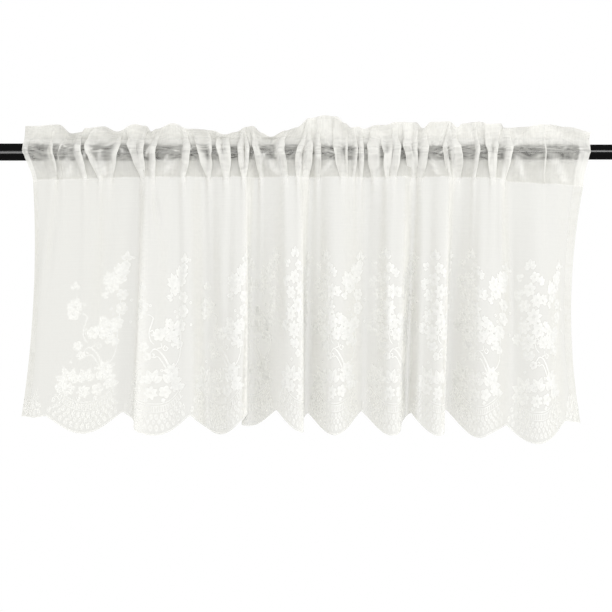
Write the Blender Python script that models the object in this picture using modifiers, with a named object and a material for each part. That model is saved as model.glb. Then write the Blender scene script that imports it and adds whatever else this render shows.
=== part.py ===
"""Cafe curtain with a scalloped hem, gathered on a telescoping rod.

Units are metres, +Z is up. The origin is the centre of the rod's left end face.
+X runs along the rod to the right, and the curtain's front looks along -Y.
"""
import math
from collections import namedtuple

import bmesh
import bpy

MM = 0.001

# The rod: two steel tubes, one sliding in the other, each with one flat closed end
ROD_LENGTH = 0.934
OUTER_TUBE_DIAMETER = 0.025
OUTER_TUBE_LENGTH = 0.240
INNER_TUBE_DIAMETER = 0.022
TUBE_OVERLAP = 0.100
TUBE_WALL = 0.0010
TUBE_CLEARANCE = 0.0003
END_THICKNESS = 0.003
TUBE_SIDES = 32

# The cloth: one cut length, with a rod pocket between two stitch rows and a ruffle above it
CLOTH_THICKNESS = 0.0012
SCALLOP_DEPTH = 0.029
END_SCALLOP_DEPTH = 0.006
SCALLOP_SHARPNESS = 1.1
STATIONS_PER_SCALLOP = 15
RUFFLE_STITCH_HEIGHT = 0.0195
POCKET_STITCH_DROP = 0.036
VALLEY_DROP = 0.383
POCKET_GAP = 0.0014
POCKET_ANGLES = (44.0, 78.0, 112.0)
BODY_ROWS = (0.15, 0.40, 0.70, 1.0)
END_FLARE = 0.011
END_FLARE_POWER = 7
FOLD_OPENING_POWER = 1.5
GATHER_REACH = 0.22
RUFFLE_LEAN = 0.7
STITCH_PINCH = 0.55
BACK_SHARE = 0.75

# Each row is a crest or a trough of the folds, from the left edge to the right one.
# scallop counts hem scallops along the cloth, with a whole number at each valley between
# two scallops. The rest is in millimetres: the fold's place and its depth towards the
# viewer at the pocket stitch and at the hem, how far the flank on its right doubles back,
# how far the fold bows to the right halfway down, and how far the cloth hangs below its
# usual level at the pocket stitch and at the hem.
Fold = namedtuple("Fold", "scallop top_x top_depth hem_x hem_depth overhang bow top_sag hem_sag")
FOLDS = (
    Fold(-0.40, 69, 0, 52, -10, 0, 9, 6, -3),
    Fold(-0.12, 82, 4, 75, 9, 0, 3, 4, 2),
    Fold(1.05, 223, -6, 204, -12, 7, 0, 0, -3),
    Fold(1.36, 239, 7, 228, 12, 0, 0, 0, 1),
    Fold(1.68, 272, 1, 266, 4, 0, 0, 0, 2),
    Fold(1.99, 292, 6, 298, 10, 0, 0, 0, 1),
    Fold(2.28, 318, -7, 323, -15, 0, 0, 0, 0),
    Fold(2.84, 374, 9, 369, 19, 13, 0, 0, 0),
    Fold(3.52, 394, -10, 385, -34, 0, 0, 0, -10),
    Fold(4.40, 456, 10, 456, 20, 7, 0, 0, -4),
    Fold(4.97, 473, -10, 468, -28, 0, 0, 0, -1),
    Fold(5.55, 511, 9, 512, 19, 0, 0, 0, 0),
    Fold(6.06, 558, -9, 553, -19, 0, 0, 0, -4),
    Fold(6.56, 607, 9, 596, 18, 4, 0, 0, 1),
    Fold(6.92, 626, -9, 615, -16, 0, 0, 0, -3),
    Fold(7.47, 670, 10, 658, 22, 8, 0, 0, 1),
    Fold(8.03, 688, -10, 675, -32, 0, 0, 0, -6),
    Fold(8.68, 740, 10, 730, 16, 0, 0, 2, 6),
    Fold(9.09, 771, -3, 769, -6, 0, 0, 7, 17),
    Fold(9.55, 816, 6, 810, 15, 0, 0, 10, 13),
    Fold(10.13, 858, -4, 860, -26, 0, -8, 12, 10),
    Fold(10.267, 873, 0, 872, -20, 0, -15, 13, 10),
)

# Small gathers at the pocket, in millimetres: place along the rod and height of the ridge
Gather = namedtuple("Gather", "x height")
GATHERS = (
    Gather(101, 3), Gather(134, 4), Gather(147, 4), Gather(190, 4), Gather(215, 5),
    Gather(228, 5), Gather(244, 6), Gather(301, 5), Gather(315, 5), Gather(333, 4),
    Gather(355, 5), Gather(378, 7), Gather(437, 7), Gather(467, 8), Gather(486, 7),
    Gather(517, 6), Gather(561, 6), Gather(599, 6), Gather(616, 6), Gather(631, 5),
    Gather(642, 5), Gather(688, 7), Gather(720, 5), Gather(736, 6), Gather(762, 4),
)
GATHER_WIDTH = 4.5

# The ruffle's top edge, in millimetres: place along the rod and height over its axis
RuffleTop = namedtuple("RuffleTop", "x height")
RUFFLE_TOP = (
    RuffleTop(55, 37), RuffleTop(107, 40), RuffleTop(133, 27), RuffleTop(160, 36),
    RuffleTop(193, 29), RuffleTop(218, 41), RuffleTop(243, 31), RuffleTop(273, 42),
    RuffleTop(330, 31), RuffleTop(350, 26), RuffleTop(386, 37), RuffleTop(416, 23),
    RuffleTop(438, 31), RuffleTop(473, 49), RuffleTop(510, 52), RuffleTop(535, 35),
    RuffleTop(571, 39), RuffleTop(613, 44), RuffleTop(637, 35), RuffleTop(663, 45),
    RuffleTop(688, 37), RuffleTop(715, 42), RuffleTop(755, 35), RuffleTop(810, 41),
    RuffleTop(845, 36), RuffleTop(885, 29),
)


def clear_scene():
    for item in list(bpy.data.objects):
        bpy.data.objects.remove(item, do_unlink=True)


def make_collection(name):
    collection = bpy.data.collections.new(name)
    bpy.context.scene.collection.children.link(collection)
    return collection


def make_material(name, colour, roughness, metallic=0.0):
    material = bpy.data.materials.new(name)
    material.use_nodes = True
    shader = material.node_tree.nodes["Principled BSDF"]
    shader.inputs["Base Color"].default_value = (*colour, 1.0)
    shader.inputs["Roughness"].default_value = roughness
    shader.inputs["Metallic"].default_value = metallic
    return material


def add_object(name, mesh, collection, material):
    item = bpy.data.objects.new(name, mesh)
    item.data.materials.append(material)
    collection.objects.link(item)
    return item


def mix(a, b, share):
    return a + (b - a) * share


def eased(share):
    """Goes from 0 to 1 with level ends, as a fold turns at its crest and its trough."""
    return (1 - math.cos(math.pi * share)) / 2


def along(table, x):
    """Height of a table's edge at x, eased between its rows."""
    if x <= table[0].x:
        return table[0].height
    for left, right in zip(table, table[1:]):
        if x <= right.x:
            return mix(left.height, right.height, eased((x - left.x) / (right.x - left.x)))
    return table[-1].height


def flank_at(scallop):
    """The two folds on either side of a place along the cloth, and how far it is between them."""
    for left, right in zip(FOLDS, FOLDS[1:]):
        if scallop <= right.scallop:
            break
    share = (scallop - left.scallop) / (right.scallop - left.scallop)
    return left, right, min(max(share, 0.0), 1.0)


def top_x(scallop):
    """Place of the cloth along the rod at the pocket stitch, in millimetres."""
    left, right, share = flank_at(scallop)
    return mix(left.top_x, right.top_x, share)


def gather_height(x, stations_x):
    """Height of the small gathers at x. Each gather stands on the station next to it."""
    total = 0.0
    for gather in GATHERS:
        centre = min(stations_x, key=lambda place: abs(place - gather.x))
        total += gather.height * math.exp(-(((x - centre) / GATHER_WIDTH) ** 2))
    return total * MM


def scallop_drop(scallop):
    """How far the hem hangs below its valleys. The cut scallops at both ends are shallow."""
    whole = 0 <= scallop <= int(FOLDS[-1].scallop)
    depth = SCALLOP_DEPTH if whole else END_SCALLOP_DEPTH
    return depth * math.sin(math.pi * (scallop % 1.0)) ** SCALLOP_SHARPNESS


def body_point(scallop, down, gather):
    """A point of the hanging cloth, with down 0 at the pocket stitch and 1 at the hem."""
    left, right, share = flank_at(scallop)
    opening = 1 - (1 - down) ** FOLD_OPENING_POWER
    x = mix(mix(left.top_x, right.top_x, share), mix(left.hem_x, right.hem_x, share), down)
    x += mix(left.bow, right.bow, share) * 4 * down * (1 - down)
    x += left.overhang * math.sin(2 * math.pi * share) * opening
    crest = mix(left.top_depth, left.hem_depth, opening)
    trough = mix(right.top_depth, right.hem_depth, opening)
    depth = mix(crest, trough, eased(share)) * MM
    depth += gather * STITCH_PINCH * math.exp(-down / GATHER_REACH)
    top_drop = POCKET_STITCH_DROP + mix(left.top_sag, right.top_sag, eased(share)) * MM
    hem_drop = VALLEY_DROP + mix(left.hem_sag, right.hem_sag, eased(share)) * MM
    z = -mix(top_drop, hem_drop + scallop_drop(scallop), down)
    return x * MM, -depth, z


def end_flare(scallop):
    """The pocket and ruffle spread a little past the body at both side edges."""
    first, last = FOLDS[0].scallop, FOLDS[-1].scallop
    from_middle = (2 * scallop - first - last) / (last - first)
    return END_FLARE * from_middle ** END_FLARE_POWER


def tube_radius(x):
    """Radius of the tube that the pocket goes round at x."""
    on_outer = x < OUTER_TUBE_LENGTH + CLOTH_THICKNESS * 2
    return (OUTER_TUBE_DIAMETER if on_outer else INNER_TUBE_DIAMETER) / 2


def pocket_point(scallop, angle, gather, side):
    """A point of the pocket, at an angle from the top of the rod. side is 1 in front, -1 behind."""
    x = top_x(scallop) * MM + end_flare(scallop)
    radius = tube_radius(x) + POCKET_GAP + gather * (1 if side > 0 else BACK_SHARE)
    turn = math.radians(angle)
    return x, -side * radius * math.sin(turn), radius * math.cos(turn)


def ruffle_point(scallop, gather, share):
    """A point of the ruffle, with share 0 at its stitch row and 1 at its top edge."""
    x = top_x(scallop) * MM + end_flare(scallop)
    top = along(RUFFLE_TOP, x / MM) * MM
    lean = gather * mix(STITCH_PINCH, RUFFLE_LEAN, share)
    return x, -lean, mix(RUFFLE_STITCH_HEIGHT, top, share)


def sheet_rows(scallop, gather):
    """The cloth's section: front rows from the ruffle's edge to the hem, then the pocket's back."""
    front = [ruffle_point(scallop, gather, 1.0), ruffle_point(scallop, gather, 0.0)]
    front += [pocket_point(scallop, angle, gather, 1) for angle in POCKET_ANGLES]
    front.append(body_point(scallop, 0.0, gather))
    front += [body_point(scallop, down, gather) for down in BODY_ROWS]
    back = [ruffle_point(scallop, gather, 0.0)]
    back += [pocket_point(scallop, angle, gather, -1) for angle in POCKET_ANGLES]
    back.append(body_point(scallop, 0.0, gather))
    return front, back


def add_grid(bm, columns):
    """Adds a grid whose points are the given columns, one column for each station."""
    rows = len(columns[0])
    grid = bmesh.ops.create_grid(bm, x_segments=len(columns) - 1, y_segments=rows - 1, size=0.5)
    for index, vertex in enumerate(grid["verts"]):
        vertex.co = columns[index % len(columns)][index // len(columns)]


def build_curtain(collection, material):
    first = round(FOLDS[0].scallop * STATIONS_PER_SCALLOP)
    last = round(FOLDS[-1].scallop * STATIONS_PER_SCALLOP)
    stations = [index / STATIONS_PER_SCALLOP for index in range(first, last + 1)]
    stations_x = [top_x(scallop) for scallop in stations]
    gathers = [gather_height(x, stations_x) for x in stations_x]
    sections = [sheet_rows(scallop, gather) for scallop, gather in zip(stations, gathers)]
    bm = bmesh.new()
    add_grid(bm, [front for front, _ in sections])
    add_grid(bm, [back for _, back in sections])
    bmesh.ops.remove_doubles(bm, verts=bm.verts, dist=0.00001)
    mesh = bpy.data.meshes.new("curtain")
    bm.to_mesh(mesh)
    bm.free()
    curtain = add_object("curtain", mesh, collection, material)
    solidify = curtain.modifiers.new("cloth thickness", "SOLIDIFY")
    solidify.solidify_mode = "NON_MANIFOLD"
    solidify.thickness = CLOTH_THICKNESS
    solidify.offset = 0.0
    mesh.shade_smooth()
    return curtain


def turned_cup(name, length, radius, bore, closed_left, collection, material):
    """A tube along +X from x = 0, closed at one end by a flat wall."""
    profile = [(0.0, 0.0), (0.0, radius), (length, radius), (length, bore)]
    profile += [(END_THICKNESS, bore), (END_THICKNESS, 0.0)]
    if not closed_left:
        profile = [(length - x, r) for x, r in profile]
    bm = bmesh.new()
    points = [bm.verts.new((x, 0.0, r)) for x, r in profile]
    for start, end in zip(points, points[1:]):
        bm.edges.new((start, end))
    mesh = bpy.data.meshes.new(name)
    bm.to_mesh(mesh)
    bm.free()
    tube = add_object(name, mesh, collection, material)
    screw = tube.modifiers.new("turned", "SCREW")
    screw.axis = "X"
    screw.steps = TUBE_SIDES
    screw.render_steps = TUBE_SIDES
    screw.use_merge_vertices = True
    screw.merge_threshold = 0.00001
    screw.use_normal_flip = closed_left
    return tube


def build_rod(collection, material):
    outer = OUTER_TUBE_DIAMETER / 2
    inner = INNER_TUBE_DIAMETER / 2
    turned_cup("rod_outer_tube", OUTER_TUBE_LENGTH, outer, inner + TUBE_CLEARANCE,
               True, collection, material)
    inner_length = ROD_LENGTH - OUTER_TUBE_LENGTH + TUBE_OVERLAP
    sliding = turned_cup("rod_inner_tube", inner_length, inner, inner - TUBE_WALL,
                         False, collection, material)
    sliding.location.x = ROD_LENGTH - inner_length


def main():
    clear_scene()
    collection = make_collection("cafe curtain and rod")
    cloth = make_material("sheer cloth", (0.86, 0.86, 0.83), 0.9)
    steel = make_material("painted steel", (0.012, 0.012, 0.013), 0.35, 0.6)
    build_rod(collection, steel)
    build_curtain(collection, cloth)


main()
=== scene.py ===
"""Looks of a sheer cafe curtain gathered on a telescoping rod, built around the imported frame.

Metres, +Z up. The origin is the centre of the rod's left end face, +X runs along the rod,
and the curtain's front looks along -Y. Tables give places and sizes in millimetres.
"""
import math
from collections import namedtuple

import bpy
import numpy as np
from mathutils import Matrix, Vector


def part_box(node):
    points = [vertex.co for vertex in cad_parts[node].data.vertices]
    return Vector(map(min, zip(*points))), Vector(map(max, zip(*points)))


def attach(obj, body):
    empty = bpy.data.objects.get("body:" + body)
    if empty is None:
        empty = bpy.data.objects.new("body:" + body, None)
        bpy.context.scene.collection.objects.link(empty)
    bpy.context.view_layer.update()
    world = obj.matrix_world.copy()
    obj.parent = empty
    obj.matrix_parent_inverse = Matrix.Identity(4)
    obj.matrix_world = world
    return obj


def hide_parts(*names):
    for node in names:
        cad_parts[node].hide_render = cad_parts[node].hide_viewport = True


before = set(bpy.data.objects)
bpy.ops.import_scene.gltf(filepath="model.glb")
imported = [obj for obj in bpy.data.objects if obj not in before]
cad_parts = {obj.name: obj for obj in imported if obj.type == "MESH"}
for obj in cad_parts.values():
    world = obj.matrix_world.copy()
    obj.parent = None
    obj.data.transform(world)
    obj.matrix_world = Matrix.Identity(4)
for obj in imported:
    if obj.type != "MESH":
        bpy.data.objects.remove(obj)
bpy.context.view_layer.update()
MM = 0.001

# The rod, from its nodes in the frame
OUTER_LOW, OUTER_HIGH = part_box("rod_outer_tube")
INNER_LOW, INNER_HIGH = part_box("rod_inner_tube")
ROD_LENGTH = INNER_HIGH.x - OUTER_LOW.x
OUTER_RADIUS = OUTER_HIGH.z
INNER_RADIUS = INNER_HIGH.z
STEP_X = OUTER_HIGH.x

# Levels and lengths of the cloth in metres, from the hem up to the ruffle's edge
SCALLOP_WIDTH = 0.1115
SCALLOP_DEPTH = 0.029
END_SCALLOP_DEPTH = 0.006
SCALLOP_SHARPNESS = 1.1
SIDE_HEM_WIDTH = 0.015
VALLEY_DROP = 0.383
POCKET_STITCH_DROP = 0.036
POCKET_GAP = 0.0013
RUFFLE_STITCH_HEIGHT = 0.0195
RUFFLE_LENGTH = 0.024

# The pocket's length around the rod in millimetres, and the shares of it that run straight
# up to the tube and around it
POCKET_LENGTH = 66.0
POCKET_STRAIGHT = 0.34
POCKET_ARC = 0.46

# How far past the outer tube's end the pocket starts to narrow, and over what length
NARROWING_START, NARROWING_LENGTH = 0.002, 0.006


def table(names, rows):
    """The rows, with a name for each column."""
    row_type = namedtuple("row_type", names)
    return [row_type(*row) for row in rows]


def column(rows, name):
    return np.array([getattr(row, name) for row in rows], float)


def mix(a, b, share):
    return a + (b - a) * share


def eased(share):
    """Goes from 0 to 1 with level ends, as a fold turns at its crest and its trough."""
    return (1 - np.cos(np.pi * np.clip(share, 0, 1))) / 2


def stacked(*parts):
    return np.stack(np.broadcast_arrays(*parts), -1)


# Each row is a crest or a trough of the folds, from left to right. scallop counts the hem's
# scallops along the cloth, with whole numbers at the valleys between them. The rest is in
# millimetres: place and depth towards the viewer at the pocket stitch and at the hem, how far
# the flank on its right doubles back, how far it bows to the right halfway down, and how far
# the cloth hangs below its usual level at the stitch and at the hem.
FOLDS = table("scallop top_x top_depth hem_x hem_depth overhang bow top_sag hem_sag", (
    (-0.40, 69, 3, 52, 1, 0, 9, 6, -3),
    (-0.12, 82, 4, 75, 6, 0, 5, 4, 2),
    (1.05, 223, -6, 204, -12, 4, 0, 0, -3),
    (1.36, 239, 7, 228, 12, 0, 0, 0, 1),
    (1.68, 272, 1, 266, 4, 0, 0, 0, 2),
    (1.99, 292, 6, 298, 10, 0, 0, 0, 1),
    (2.28, 318, -7, 323, -15, 0, 0, 0, 0),
    (2.84, 374, 9, 369, 19, 8, 0, 0, 0),
    (3.52, 394, -10, 385, -34, 0, 0, 0, -10),
    (4.40, 456, 10, 456, 20, 4, 0, 0, -4),
    (4.97, 473, -8, 468, -22, 0, 0, 0, -1),
    (5.55, 511, 9, 512, 19, 0, 0, 0, 0),
    (6.06, 558, -9, 553, -19, 0, 0, 0, -4),
    (6.56, 607, 9, 596, 18, 2, 0, 0, 1),
    (6.92, 626, -9, 615, -16, 0, 0, 0, -3),
    (7.15, 642, 2, 632, 6, 0, 0, 0, 0),
    (7.47, 670, 10, 658, 22, 5, 0, 0, 1),
    (8.03, 688, -8, 675, -27, 0, 0, 0, -6),
    (8.68, 740, 10, 730, 16, 0, 0, 2, 6),
    (9.09, 771, -3, 769, -6, 0, 0, 7, 17),
    (9.55, 816, 6, 810, 15, 0, 0, 10, 13),
    (10.13, 858, -4, 860, -22, 0, -13, 12, 10),
    (10.267, 873, -5, 872, -25, 0, -15, 13, 10),
))
FOLD_SCALLOPS = column(FOLDS, "scallop")
FOLD_DEPTHS = column(FOLDS, "hem_depth")
FIRST_SCALLOP, LAST_SCALLOP = FOLD_SCALLOPS[0], FOLD_SCALLOPS[-1]

# How late the folds open on the way down, and how much fuller crests are than troughs
FOLD_OPENING_POWER = 2.1
CREST_FULLNESS = 1.3

# Small gathers at the rod, in millimetres: place at the stitch above, in front of and at
# the stitch below the rod, width of the pressed band, height of its ridge, and the side it
# falls to, 1 to the right and -1 to the left.
GATHERS = table("above front below band height side", (
    (102, 101, 104, 10.5, 3, 1), (120, 114, 111, 4, 2, -1), (142, 141, 148, 7, 5, 1),
    (152, 152, 164, 6, 6, -1), (199, 193, 184, 8, 4, 1), (209, 216, 226, 10, 5, -1),
    (233, 229, 233, 7, 6, 1), (252, 247, 247, 7, 6, 1), (295, 296, 291, 8, 6, 1),
    (304, 311, 322, 7, 6, -1), (329, 331, 327, 6, 5, 1), (337, 341, 347, 6, 6, -1),
    (355, 354, 355, 9, 6, 1), (371, 371, 374, 7, 7, -1), (381, 383, 380, 5, 8, 1),
    (389, 394, 399, 6, 6, -1), (436, 432, 441, 9, 6, 1), (462, 456, 453, 7, 6, -1),
    (474, 473, 471, 9, 8, 1), (487, 486, 487, 7, 6, 1), (508, 512, 517, 10, 4, -1),
    (527, 526, 527, 4, 3, 1), (540, 541, 538, 4.5, 4, 1), (549, 549, 550, 5, 6, 1),
    (561, 562, 564, 13, 6, -1), (575, 579, 583, 6, 6, -1), (592, 590, 587, 6, 6, 1),
    (601, 601, 598, 9, 7, 1), (610, 614, 620, 9, 7, -1), (629, 627, 629, 6, 5, 1),
    (643, 641, 638, 9, 6, 1), (670, 668, 675, 5, 4, -1), (686, 688, 693, 12, 7, 1),
    (717, 718, 714, 4.5, 5, 1), (728, 732, 735, 6, 5, -1), (747, 742, 743, 6, 5, 1),
    (764, 763, 757, 8, 5, 1), (812, 812, 815, 3, 1.5, 1),
))
GATHER_PLACES = column(GATHERS, "below")

# How far a gather doubles back, as a share of its band, and how long its ridge rises
FOLD_BACK = 0.68
RIDGE_START = 0.9

# How flat (pinch) and how tight (slack) the gathers are held at the stitches, at the ruffle's
# edge and at the back, how fast they get free around the rod and how fast they end below it
STITCH_PINCH, STITCH_SLACK = 0.62, 0.45
EDGE_PINCH, EDGE_SLACK = 0.3, 0.1
BACK_PINCH, BACK_SLACK = 0.6, 0.5
FREEING_PINCH, FREEING_SLACK = 3, 4
ENDING_PINCH, ENDING_SLACK = 0.20, 0.03
UPWARDS = 0.6

# The ruffle's top edge, in millimetres: place along the rod and height over its axis
RUFFLE_TOP = table("x height", (
    (55, 37), (107, 40), (127, 26), (140, 28), (146, 35), (172, 37), (193, 29), (218, 41),
    (235, 38), (242, 29), (250, 33), (273, 42), (295, 34), (330, 31), (350, 25), (364, 29),
    (381, 36), (390, 37), (402, 28), (416, 22), (438, 31), (453, 35), (473, 50), (493, 54),
    (512, 52), (524, 42), (533, 35), (545, 37), (550, 34), (571, 39), (584, 39), (599, 44),
    (628, 44), (637, 34), (650, 44), (676, 45), (688, 36), (696, 42), (720, 44), (733, 41),
    (752, 42), (756, 35), (788, 36), (810, 41), (822, 40), (845, 36), (885, 29),
))
RUFFLE_X = column(RUFFLE_TOP, "x")
RUFFLE_HEIGHT = column(RUFFLE_TOP, "height")

# The ruffle's lean, the waves in its edge as height, length and turn, the space to its back
# layer, and how that closes at the edge
RUFFLE_LEAN = 0.35
RUFFLE_WAVES = ((0.0035, 0.0105, 2.2), (0.0022, 0.0058, -2.5))
RUFFLE_CURL = 1.3
RUFFLE_GAP = 0.0011
RUFFLE_CLOSING = 6

# The pocket and the ruffle spread past the body at both side edges
END_FLARE = 0.011
END_FLARE_POWER = 7
END_FLARE_RISE = 2.2

# Soft creases in the hanging cloth, in millimetres but for their shares of the drop: place
# where the crease starts and ends, where on the drop that is, its width and its depth
CREASES = table("x_start x_end start end width depth", (
    (107, 86, 0, 0.55, 5, -2.5), (98, 80, 0, 0.60, 8, 2.5), (155, 150, 0, 0.75, 16, 3),
    (184, 160, 0, 0.70, 10, -3), (242, 262, 0, 0.30, 5, -3), (256, 250, 0, 0.80, 9, 2.6),
    (284, 282, 0, 0.90, 7, -2.2), (340, 346, 0, 0.70, 8, 2.2), (356, 352, 0, 0.80, 7, -2),
    (420, 430, 0.1, 0.90, 10, -2.2), (437, 440, 0, 0.80, 8, 1.8), (486, 492, 0, 0.60, 7, -2),
    (587, 584, 0, 1.00, 6, 3), (574, 572, 0.1, 0.90, 7, -2), (650, 646, 0, 0.80, 6, -1.8),
    (722, 716, 0, 0.75, 8, 2.2), (748, 758, 0, 0.60, 6, 3.4), (762, 772, 0, 0.80, 7, -2),
    (818, 824, 0, 0.55, 12, -4), (840, 842, 0, 0.50, 9, 2.5),
))
CREASE_STRENGTH = 2.1
CREASE_LEAD = 0.3
CREASE_FADING = 1.6

# Wide soft folds in the heading: place along the rod, level as for the gathers, turn from
# upright in radians, and half length, half width and height in millimetres
WRINKLE_NAMES = "x level turn length width height"
HEADING_FOLDS = table(WRINKLE_NAMES, (
    (838, 0.12, -0.9, 20, 4, 1.5), (780, 0.14, -0.6, 14, 4, 1.5), (815, 0.62, -1.3, 20, 3, 0.7),
    (122, 0.13, 0.5, 10, 4.5, 1.4), (172, 0.14, -0.4, 10, 5, 1.6), (266, 0.13, 1.1, 12, 3.5, 1.4),
    (345, 0.12, 0.9, 10, 3.5, 1.5), (420, 0.15, -0.9, 14, 4.5, 1.6),
    (497, 0.14, 0.9, 12, 3.5, 1.4), (655, 0.14, -0.6, 12, 4, 1.5),
))

# Small sharp wrinkles there, fewer near both ends, and how deep the deepest may go
CRINKLE_COUNT = 230
random = np.random.default_rng(11)
CRINKLES = table(WRINKLE_NAMES, zip(
    random.uniform(60, 880, CRINKLE_COUNT), random.uniform(0.0, 1.35, CRINKLE_COUNT),
    random.normal(0.0, 0.8, CRINKLE_COUNT), random.uniform(5.0, 14.0, CRINKLE_COUNT),
    random.uniform(1.6, 3.2, CRINKLE_COUNT), random.uniform(-1.2, 2.2, CRINKLE_COUNT),
))
CRINKLE_DIP = 0.9
CALM_ENDS = (95, 790)
CALM_FADE = 30
CALM_SHARE = 0.35

# Mesh density of the sheet
COLUMNS_PER_SCALLOP = 42
BODY_ROWS = 118
STRAIGHT_ROWS = 7
ARC_ROWS = 13
SHOULDER_ROWS = 4
RUFFLE_ROWS = 10
BACK_EVERY = 2

# How tightly gathered the cloth is, from 0 to 1, and the ridge height where it is 1. Where it is
# tight the cloth is painted lighter, partly for its denser threads and partly as painted light on
# the gathers, the heading and the side hems
PRESSED_HEIGHT = 5.0
STITCH_PRESSED, STITCH_PRESSED_FADE = 0.7, 0.04
HEADING_PRESSED = 0.37
# The ruffle is painted lighter from its left end to its right one, as painted light from the key
# light on the right
RUFFLE_PRESSED_AND_PAINTED_LIGHT = (0.64, 0.9)
HEM_PRESSED = 0.28
HEADING_HEM_PRESSED = 0.95
SIDE_HEM_SOFTNESS = 0.002
SHOULDER_START, SHOULDER_SPAN = 0.78, 0.2
# Painted highlight on the heading's wrinkle ridges: how much lighter they are painted, and the
# ridge height where that is full
RIDGE_PAINTED_HIGHLIGHT = 0.75
RIDGE_HEIGHT = 1.6
SHARP_START, SHARP_SPAN, SOFT_SPAN = 0.15, 0.2, 0.05

# The part of the flat cloth that has the rod behind it, and how softly it ends
ROD_FLAT = (0.013, 0.060)
ROD_SOFTNESS = 0.005

# Painted highlight along the edges where a fold doubles back: how much lighter it is painted, from
# which overhang on in full, how wide they are in scallops, and how far from the crest as a share of
# the flank
EDGE_PAINTED_HIGHLIGHT = 0.85
EDGE_OVERHANG = 4.0
EDGE_WIDTH = 0.10
EDGE_PLACE = 0.2

# How edgewise the cloth is at most taken to lie, and how much lighter it is painted there, as
# painted light on steep flanks and fold edges. Near the left side, below the pocket, the cloth is
# made denser, as painted shade.
SLANT_LIMIT = 0.35
SLANT_PAINTED_LIGHT = 0.5
LEFT_ACROSS = (0.15, 0.31)
LEFT_PAINTED_SHADE = 0.27
BODY_TOP = -0.037


def fold_eased(index, share):
    """As eased, but fuller at the crest, which is at the fold's end where it comes forwards."""
    rising = FOLD_DEPTHS[index + 1] > FOLD_DEPTHS[index]
    return eased(share) ** np.where(rising, 1 / CREST_FULLNESS, CREST_FULLNESS)


def flank_at(scallop):
    """The index of the fold on the left of each place, and how far it is to the next one."""
    index = np.clip(np.searchsorted(FOLD_SCALLOPS, scallop, side="right") - 1, 0, len(FOLDS) - 2)
    start, end = FOLD_SCALLOPS[index], FOLD_SCALLOPS[index + 1]
    return index, np.clip((scallop - start) / (end - start), 0, 1)


def between(name, index, share):
    values = column(FOLDS, name)
    return mix(values[index], values[index + 1], share)


def gather_centre(gather, level):
    """Place of a gather at a level: 0 at the stitch under the rod, 1 at the one above it."""
    curve = gather.below * (2 * level ** 2 - 3 * level + 1)
    curve = curve + gather.front * 4 * level * (1 - level)
    return curve + gather.above * (2 * level ** 2 - level)


def leaning(x, level):
    """Where the cloth that is at x at the lower stitch lies higher up, led by the gathers."""
    moves = [gather_centre(gather, level) - gather.below for gather in GATHERS]
    return x + np.interp(x, GATHER_PLACES, moves)


def gathered(x, level, pinch, slack):
    """Sideways shift and height of the cloth in the small gathers, in metres.

    x is the cloth's even place along the rod in millimetres. pinch scales the height and
    slack the doubling back, so that stitches hold a gather flat and free cloth opens it.
    """
    shift = np.zeros(np.shape(x))
    height = np.zeros_like(shift)
    for gather in GATHERS:
        place = gather.side * (x - gather_centre(gather, level)) / gather.band + 0.5
        inside = np.clip(place, 0, 1)
        shift += gather.side * FOLD_BACK * gather.band * np.sin(2 * np.pi * inside)
        ridge = np.minimum(eased(place + RIDGE_START), 1 - eased(place))
        height = np.maximum(height, gather.height * ridge)
    return shift * slack * MM, height * pinch * MM


def creased(x, down):
    """Depth of the soft creases at x, in metres, where down is 0 at the stitch and 1 at the hem."""
    total = np.zeros(np.broadcast(x, down).shape)
    for crease in CREASES:
        along = (down - crease.start) / (crease.end - crease.start)
        centre = mix(crease.x_start, crease.x_end, along)
        fade = np.clip(along + CREASE_LEAD, 0, 1) * eased((1 - along) * CREASE_FADING)
        fade = fade * (along > -CREASE_LEAD)
        total += crease.depth * fade * np.exp(-(((x - centre) / crease.width) ** 2))
    return total * CREASE_STRENGTH * MM


def scallop_drop(scallop):
    """How far the hem hangs below its valleys. The cut scallops at both ends are shallow."""
    whole = (scallop >= 0) & (scallop <= int(LAST_SCALLOP))
    depth = np.where(whole, SCALLOP_DEPTH, END_SCALLOP_DEPTH)
    return depth * np.abs(np.sin(np.pi * scallop)) ** SCALLOP_SHARPNESS


def stitch_drop(scallop):
    index, share = flank_at(scallop)
    return POCKET_STITCH_DROP + between("top_sag", index, eased(share)) * MM


def hem_drop(scallop):
    index, share = flank_at(scallop)
    return VALLEY_DROP + between("hem_sag", index, eased(share)) * MM + scallop_drop(scallop)


def fold_opening(down):
    """How far the folds have opened from their depth at the stitch to the one at the hem."""
    return 1 - np.clip(1 - down, 0, 1) ** FOLD_OPENING_POWER


def body_point(scallop, down):
    """Points of the hanging cloth, with down 0 at the pocket stitch and 1 at the hem."""
    index, share = flank_at(scallop)
    opening = fold_opening(down)
    top_x = between("top_x", index, share)
    x = mix(top_x, between("hem_x", index, share), down)
    x = x + between("bow", index, share) * 4 * down * (1 - down)
    x = x + column(FOLDS, "overhang")[index] * np.sin(2 * np.pi * share) * opening
    turn = fold_eased(index, share)
    depth = mix(between("top_depth", index, turn), between("hem_depth", index, turn), opening) * MM
    pinch = STITCH_PINCH * np.exp(-down / ENDING_PINCH)
    shift, height = gathered(top_x, 0.0, pinch, STITCH_SLACK * np.exp(-down / ENDING_SLACK))
    depth = depth + height + creased(x, down)
    return stacked(x * MM + shift, -depth, -mix(stitch_drop(scallop), hem_drop(scallop), down))


def end_flare(scallop):
    """The pocket and ruffle spread a little past the body at both side edges."""
    middle = (FIRST_SCALLOP + LAST_SCALLOP) / 2
    half = (LAST_SCALLOP - FIRST_SCALLOP) / 2
    return END_FLARE * ((scallop - middle) / half) ** END_FLARE_POWER


def tube_radius(x):
    """The rod's radius, eased from the outer tube's to the inner one's past its end."""
    share = eased((x - STEP_X - NARROWING_START) / NARROWING_LENGTH)
    return mix(OUTER_RADIUS, INNER_RADIUS, share)


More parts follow.
